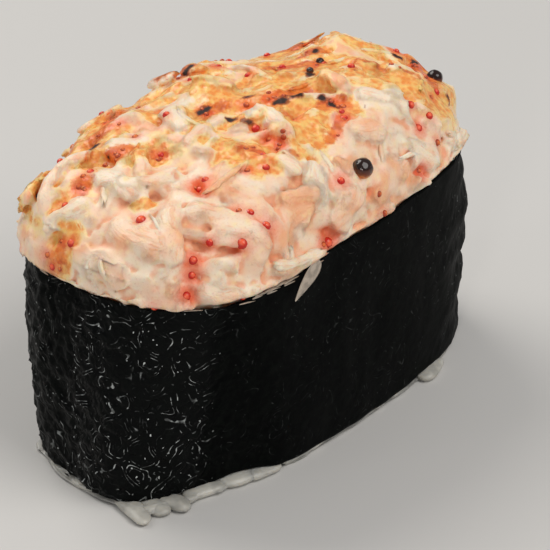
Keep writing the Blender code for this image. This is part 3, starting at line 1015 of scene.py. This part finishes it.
def settle(values, ends):
    """Softens the tone from flake to flake, and adds how far each point lies from another flake."""
    first, second = np.concatenate([ends, ends[:, ::-1]]).T
    same = np.bincount(first, values[first, 2] == values[second, 2], len(values))
    share = same / np.maximum(np.bincount(first, minlength=len(values)), 1)
    soft = smoothed_copy(np.stack([values[:, 2], share, share], 1), ends, 4)
    return np.column_stack([values[:, :2], soft[:, 0], smooth_step(soft[:, 1], 0.62, 0.95)])


def relief(points, normals, ends, rounds):
    """How far each point stands over the smoothed skin, in millimetres."""
    return np.einsum("ij,ij->i", points - smoothed_copy(points, ends, rounds), normals) / MM


def paint_salad(piece, points, fine, broad, grain):
    """Works out the masks of glaze, toast, char and stain, and paints them on the piece."""
    ripple = cloud(points, 1.3, 3.0) * 0.35 + cloud(points, 0.5, 9.0) * 0.25
    patches = cloud(points, 2.6, 21.0) + 0.4 * cloud(points, 1.0, 31.0)
    reached = smooth_step(points[:, 1] + 0.3 * points[:, 0], -9 * MM, 2 * MM)
    reached *= smooth_step(points[:, 2], 26 * MM, 29 * MM)
    spared = 0.6 * smooth_step(-grain[:, 2], -0.54, -0.30) + 0.9 * broad
    glaze = stroke_depth(points, GLAZED, ripple + 0.55 - spared)
    glaze = np.clip(np.maximum(glaze, reached * (0.45 + 1.3 * patches - spared)), 0, 1)
    toast = stroke_depth(points, TOASTED, ripple + 0.4 * broad + 0.3)
    wander = np.stack([cloud(points, 1.2, shift) for shift in (51.0, 61.0, 71.0)], 1) * 0.5 * MM
    char = stroke_depth(points + wander, CHARRED, 0.4 * ripple + 0.6 * broad + 0.3, 0.5)
    stain = np.zeros(len(points))
    dice = random.Random(3)
    for spot, _, across in roe_places:
        spread = dice.uniform(1.1, 2.1) * across
        away = np.linalg.norm(points - np.array(spot), axis=1)
        stain = np.maximum(stain, dice.uniform(0.45, 1.05) * (1 - away / spread))
    paint_points(piece, "crest", broad)
    paint_points(piece, "crease", fine)
    paint_points(piece, "fibre", grain[:, :3])
    paint_points(piece, "settled", grain[:, 3])
    paint_points(piece, "glaze", glaze)
    paint_points(piece, "toast", toast)
    paint_points(piece, "char", char)
    paint_points(piece, "stain", stain)
    print(piece.name, "creases", np.round(np.percentile(fine, (1, 5, 10, 25, 50)), 3), "mm")
    print(piece.name, "crests from", round(broad.min(), 2), "to", round(broad.max(), 2), "mm")


# %% [markdown]
# Cream and crab let light in and give it back pink, so the material scatters light under its surface,
# red furthest. Fibres are fine grooves along each flake. Where the glaze has run the surface is golden
# and shinier, mottled by fried droplets. Hollows and creases are painted peach and the deepest clefts
# brown: painted shade.

# %% Salad material
def salad_material():
    made, tree, shader, place = new_material("torched_salad")
    fibre = read(tree, "fibre", "Vector")
    parts = add_node(tree, "ShaderNodeSeparateXYZ", {0: fibre}).outputs
    run = calculate(tree, "MULTIPLY", parts[0], 0.22)
    far = calculate(tree, "MULTIPLY", parts[2], 0.05)
    grooves_at = add_node(tree, "ShaderNodeCombineXYZ", {0: run, 1: parts[1], 2: far}).outputs[0]
    grooves = calculate(tree, "SUBTRACT", speckle(tree, grooves_at, 1.8, 3.0, 0.55, 0.3), 0.5)
    grooves = calculate(tree, "MULTIPLY_ADD", grooves, read(tree, "settled"), 0.5)
    drift = speckle(tree, place, 0.35, 2.0)
    mottle = speckle(tree, place, 1.2, 2.0)
    grit = speckle(tree, place, 4.0, 2.0, 0.6)
    droplets = add_node(tree, "ShaderNodeTexVoronoi", {"Vector": place, "Scale": 1.5 / MM}).outputs[0]
    tone = calculate(tree, "ADD", parts[2], calculate(tree, "MULTIPLY_ADD", drift, 2.0, -1.0))
    colour = blend(tree, fit_range(tree, tone, 0.0, 0.9), paint(249, 229, 205), paint(245, 203, 172))
    dyed = fit_range(tree, tone, 0.70, 1.05, 0.0, 0.65)
    colour = blend(tree, dyed, colour, paint(244, 172, 122))
    streak = fit_range(tree, grooves, 0.5, 0.68, 0.0, 0.5)
    colour = blend(tree, streak, colour, paint(240, 166, 118))
    # Painted shade: the hollows a soft peach, the creases a deeper peach, and the deepest clefts thin brown
    # lines.
    hollow_shade = fit_range(tree, read(tree, "crest"), 0.0, -0.5, 0.0, 0.5)
    colour = blend(tree, hollow_shade, colour, paint(246, 182, 132))
    crease = fit_range(tree, read(tree, "crease"), -0.01, -0.07, 0.0, 0.6)
    colour = blend(tree, crease, colour, paint(236, 150, 104))
    cleft_shade = fit_range(tree, read(tree, "crease"), -0.08, -0.16, 0.0, 0.6)
    colour = blend(tree, cleft_shade, colour, paint(184, 92, 50))
    glaze = calculate(tree, "MULTIPLY_ADD", mottle, 0.5, read(tree, "glaze"))
    buttery = fit_range(tree, glaze, 0.22, 0.50, 0.0, 0.8)
    colour = blend(tree, buttery, colour, paint(252, 222, 160))
    glaze = fit_range(tree, glaze, 0.42, 0.92, 0.0, 0.92)
    fried = calculate(tree, "MULTIPLY_ADD", mottle, 1.2, calculate(tree, "MULTIPLY_ADD", droplets, -0.6, 0.0))
    golden = blend(tree, fit_range(tree, fried, 0.0, 0.6), paint(252, 202, 116), paint(239, 143, 56))
    colour = blend(tree, glaze, colour, golden)
    toast = calculate(tree, "MULTIPLY_ADD", grit, 0.5, read(tree, "toast"))
    toast = fit_range(tree, toast, 0.55, 1.0, 0.0, 0.95)
    orange = blend(tree, fit_range(tree, mottle, 0.4, 0.65), paint(234, 132, 54), paint(206, 94, 34))
    colour = blend(tree, toast, colour, orange)
    stain = calculate(tree, "MULTIPLY_ADD", grit, 0.3, read(tree, "stain"))
    stain = fit_range(tree, stain, 0.12, 0.95, 0.0, 0.85)
    colour = blend(tree, stain, colour, paint(240, 98, 50))
    char = calculate(tree, "MULTIPLY_ADD", grit, 0.5, read(tree, "char"))
    scorch = fit_range(tree, char, 0.25, 0.7, 0.0, 0.9)
    colour = blend(tree, scorch, colour, paint(158, 70, 24))
    char = fit_range(tree, char, 0.62, 1.0)
    colour = blend(tree, char, colour, paint(36, 14, 7))
    tree.links.new(colour, shader.inputs["Base Color"])
    oily = calculate(tree, "SUBTRACT", glaze, calculate(tree, "MULTIPLY", char, 2.5))
    tree.links.new(fit_range(tree, oily, -1, 1, 0.65, 0.24), shader.inputs["Roughness"])
    shader.inputs["Subsurface Weight"].default_value = 0.55
    shader.inputs["Subsurface Radius"].default_value = (1.0, 0.6, 0.38)
    shader.inputs["Subsurface Scale"].default_value = 0.6 * MM
    under = add_bump(tree, shader, grooves, 0.28 * MM, 0.95)
    fat = calculate(tree, "MULTIPLY", droplets, glaze)
    under = add_bump(tree, shader, fat, 0.20 * MM, 0.6, under)
    add_bump(tree, shader, grit, 0.05 * MM, 0.5, under)
    return made


salad_points, salad_normals, salad_edges = read_skin(salad_skin)
torched_salad = salad_material()
salad = add_piece("salad", salad_skin, torched_salad)
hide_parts("topping")
fine = relief(salad_points, salad_normals, salad_edges, 5)
broad = relief(salad_points, salad_normals, salad_edges, 50)
paint_salad(salad, salad_points, fine, broad, settle(flake_values(salad_points), salad_edges))

# %% [markdown]
# ## Loose shreds and rim scraps
# The last handful of crab lies on top, thin and crisp-edged, with tips that leave the surface. Each
# shred is laid over the finished skin at the height it has there. Where salad was pressed against the
# seaweed's rim it leaves scraps of dried mayonnaise, and at the front one clear flap hangs over.

# %% Loose shreds
PLACED_SHREDS = (  # x, y, z on steep sides, heading, length, width, thickness, lift, roll, pitch
    (-10.2, -15.1, 24.7, 0, 7.4, 1.5, 1.0, 0.55, 0.1, 0.0),
    (19.4, -12.3, 25.8, 30, 3.4, 2.0, 1.4, 0.4, 0.1, 0.0),
)
salad_probe = bmesh.new()
salad_probe.from_mesh(salad.data)
salad_tree = BVHTree.FromBMesh(salad_probe)
salad_probe.free()


def on_salad(spot, normal):
    """The place on the finished salad over a place on the heap, and how high it stands there."""
    place = salad_tree.ray_cast(spot + normal * 3 * MM, -normal)[0] or spot
    return place, (place - spot).dot(normal) / MM


def make_shreds(dice):
    """Thin flakes laid over the finished salad, joined into one piece."""
    lowest = float(band_high.min()) + 1.5 * MM
    shreds = []
    for spot, normal in spots_on_heap(36, 3.6 * MM, dice, lowest):
        width = dice.uniform(0.35, 0.75)
        length = width + dice.uniform(1.8, 4.4)
        _, height = on_salad(spot, normal)
        lift, pitch = height - dice.uniform(0.05, 0.25), dice.gauss(0, 0.2)
        turn = dice.uniform(0, TURN)
        shreds.append(Flake(spot, normal, turn, length, width, width * 0.7, lift, 0.0, pitch, dice))
    for row in PLACED_SHREDS:
        shreds.append(aimed(*row, dice))
    shape = copies_of(flake_ball, len(shreds))
    points = np.concatenate([shred.points for shred in shreds])
    for vert, point in zip(shape.verts, points):
        vert.co = point
    piece = add_piece("loose_shreds", shape, torched_salad)
    flat = np.zeros(len(points))
    grain = np.concatenate([shred.grain for shred in shreds])
    paint_salad(piece, points, flat, flat + 0.2, np.column_stack([grain, flat + 1]))
    return piece


loose_shreds = make_shreds(random.Random(31))
print("loose shreds:", triangles(loose_shreds), "triangles")


# %% Rim scraps and the flap
def scrap_material():
    made, tree, shader, place = new_material("dried_cream")
    cloud_share = fit_range(tree, speckle(tree, place, 1.2, 2.0), 0.35, 0.65)
    dried = blend(tree, cloud_share, paint(188, 174, 158), paint(226, 210, 192))
    tree.links.new(dried, shader.inputs["Base Color"])
    shader.inputs["Roughness"].default_value = 0.22
    shader.inputs["Transmission Weight"].default_value = 0.45
    shader.inputs["IOR"].default_value = 1.38
    return made


def blade(shape, top, tip, across, out, width, thickness):
    """A thin tapering flap between two points."""
    made = bmesh.ops.create_uvsphere(shape, u_segments=14, v_segments=14, radius=1.0)["verts"]
    middle, reach = (top + tip) / 2, (tip - top) / 2
    for vert in made:
        x, y, z = vert.co
        taper = 0.62 - 0.38 * z
        curl = 0.05 * reach.length * z * z
        vert.co = middle + reach * z + across * x * taper * width / 2 + out * (y * thickness / 2 + curl)


def make_scraps(material):
    """Little dried blades along the rim, most of them at the front corner, and the flap."""
    dice = random.Random(41)
    shape = bmesh.new()
    for _ in range(34):
        front = dice.random() < 0.6
        angle = math.radians(dice.gauss(228, 9) if front else dice.uniform(0, 360))
        low, high = dice.uniform(-0.2, 0.2) * MM, float(by_angle(band_high, angle))
        spot, out = wall_with_normals(np.array([angle]), np.array([0.98]))
        out, up = Vector(out[0]), Vector((0, 0, 1))
        around = up.cross(out)
        centre = Vector(spot[0]) + out * dice.uniform(0.35, 0.8) * MM
        centre.z = high + low
        half = around * dice.uniform(0.2, 1.1) * MM + up * dice.uniform(-0.15, 0.1) * MM
        blade(shape, centre - half, centre + half, up, out, dice.uniform(0.15, 0.35) * MM, 0.2 * MM)
    top, tip = Vector((-7.4, -15.7, 23.6)) * MM, Vector((-11.8, -16.0, 21.0)) * MM
    across = Vector((0.47, 0, -0.88))
    blade(shape, top, tip, across, Vector((0, -1, 0)), 2.9 * MM, 0.3 * MM)
    return add_piece("rim_scraps", shape, material)


rim_scraps = make_scraps(scrap_material())
print("rim scraps:", triangles(rim_scraps), "triangles")

# %% [markdown]
# ## The eggs themselves
# Each is a clear little ball with an oil drop in it: a deep red rim round a lighter orange middle. The
# middle is painted on the side that faces out of the heap. It is partly the oil drop and partly painted
# light, standing in for light that passes through the clear egg, and the darker red rim is painted shade.
# An egg's centre lies under the skin, some more and some less, so that it sits in the cream instead of on it.

# %% Eggs
egg_ball = bpy.data.meshes.new("egg_ball")
ball = bmesh.new()
bmesh.ops.create_icosphere(ball, subdivisions=2, radius=0.5)
ball.to_mesh(egg_ball)
ball.free()
egg_template = np.array([vert.co for vert in egg_ball.vertices])


def roe_material():
    made, tree, shader, place = new_material("roe")
    lit_middle = read(tree, "lit_middle")
    burnt = read(tree, "burnt")
    # Painted light and shade: a deep red rim round a lighter orange middle, as light through a clear egg
    # would show.
    shaded_red_rim = blend(tree, burnt, paint(196, 30, 18), paint(170, 66, 28))
    core = blend(tree, burnt, paint(240, 104, 66), paint(222, 118, 56))
    tree.links.new(blend(tree, fit_range(tree, lit_middle, 0.60, 0.98), shaded_red_rim, core), shader.inputs["Base Color"])
    shader.inputs["Roughness"].default_value = 0.2
    shader.inputs["Subsurface Weight"].default_value = 0.5
    shader.inputs["Subsurface Radius"].default_value = (1.0, 0.25, 0.12)
    shader.inputs["Subsurface Scale"].default_value = 0.5 * MM
    return made


def make_roe(material):
    """One small ball for each place, with its painted lit middle and its burnt ones marked."""
    dice = random.Random(17)
    eggs = copies_of(egg_ball, len(roe_places))
    count = len(egg_template)
    lit_middles, burns = [], []
    for index, (spot, normal, across) in enumerate(roe_places):
        place, _ = on_salad(spot, normal)
        across *= dice.uniform(0.75, 0.95)
        centre = place - normal * across * dice.uniform(0.12, 0.34)
        tilt = (normal + Vector((dice.gauss(0, 0.25), dice.gauss(0, 0.25), 0.2))).normalized()
        squash = 1 + dice.uniform(-0.08, 0.08)
        for vert, unit in zip(eggs.verts[index * count:(index + 1) * count], egg_template):
            vert.co = centre + Vector(unit) * across * squash
            # The painted lit middle is on the side that faces out of the heap.
            lit_middles.append(max(0.0, 2 * Vector(unit).dot(tilt)))
            burns.append(1.0 if across < 0.8 * MM else 0.0)
    piece = add_piece("roe", eggs, material)
    paint_points(piece, "lit_middle", np.array(lit_middles))
    paint_points(piece, "burnt", np.array(burns))
    return piece


roe = make_roe(roe_material())
print("roe:", triangles(roe), "triangles")

# %% [markdown]
# ## Burnt bubbles
# Two bubbles of oil and cream blew up under the flame and set as glossy dark domes, amber where they
# meet the salad. Each is a slightly wrinkled ball, sunk by nearly half. Two small ones lie among the
# char, and two more sit round the back, where the flame passed too.

# %% Bubbles
BUBBLES = (  # x, y, z on steep sides, millimetres across
    (1.4, -13.6, 29.6, 2.2), (22.6, -7.0, 30.3, 1.8), (13.2, 1.2, None, 0.9), (9.6, -0.4, None, 0.8),
    (-6, 15.5, 27, 1.6), (18, 13.5, 27, 1.8),
)


def bubble_material():
    made, tree, shader, place = new_material("burnt_bubble")
    height = read(tree, "height")
    wisps = calculate(tree, "MULTIPLY_ADD", speckle(tree, place, 1.5, 3.0), 0.35, height)
    amber = blend(tree, fit_range(tree, wisps, 0.25, 0.60), paint(214, 126, 64), paint(104, 44, 22))
    dark = blend(tree, fit_range(tree, wisps, 0.52, 0.80), amber, paint(34, 14, 9))
    tree.links.new(dark, shader.inputs["Base Color"])
    shader.inputs["Roughness"].default_value = 0.12
    add_bump(tree, shader, speckle(tree, place, 0.9, 2.0), 0.25 * MM, 0.6)
    return made


def make_bubbles(material):
    balls = bmesh.new()
    heights = []
    for number, (x, y, z, across) in enumerate(BUBBLES):
        spot, normal = on_heap(x, y, z)
        place, _ = on_salad(spot, normal)
        made = bmesh.ops.create_icosphere(balls, subdivisions=4, radius=across / 2 * MM)["verts"]
        for vert in made:
            unit = vert.co.normalized()
            height = 0.65 * unit.z + 0.35 * unit.dot(normal)
            pucker = noise.noise(unit * 1.6 + Vector((number, 0, 0))) * 0.05
            pucker += noise.noise(unit * 5.0 + Vector((0, number, 0))) * 0.015
            vert.co = place + normal * across * 0.06 * MM + vert.co * (1 + pucker)
            heights.append(height * 0.5 + 0.40)
    piece = add_piece("burnt_bubbles", balls, material)
    paint_points(piece, "height", np.array(heights))
    return piece


bubbles = make_bubbles(bubble_material())
print("bubbles:", triangles(bubbles), "triangles")

# %% Floor
floor_mesh = bmesh.new()
bmesh.ops.create_grid(floor_mesh, x_segments=1, y_segments=1, size=1.5)
floor_data = bpy.data.meshes.new("floor")
floor_mesh.to_mesh(floor_data)
floor_mesh.free()
floor = bpy.data.objects.new("floor", floor_data)
floor_paint, _, floor_shader, _ = new_material("pale_floor")
floor_shader.inputs["Base Color"].default_value = paint(204, 202, 199)
floor_shader.inputs["Roughness"].default_value = 0.65
floor_data.materials.append(floor_paint)
bpy.context.scene.collection.objects.link(floor)
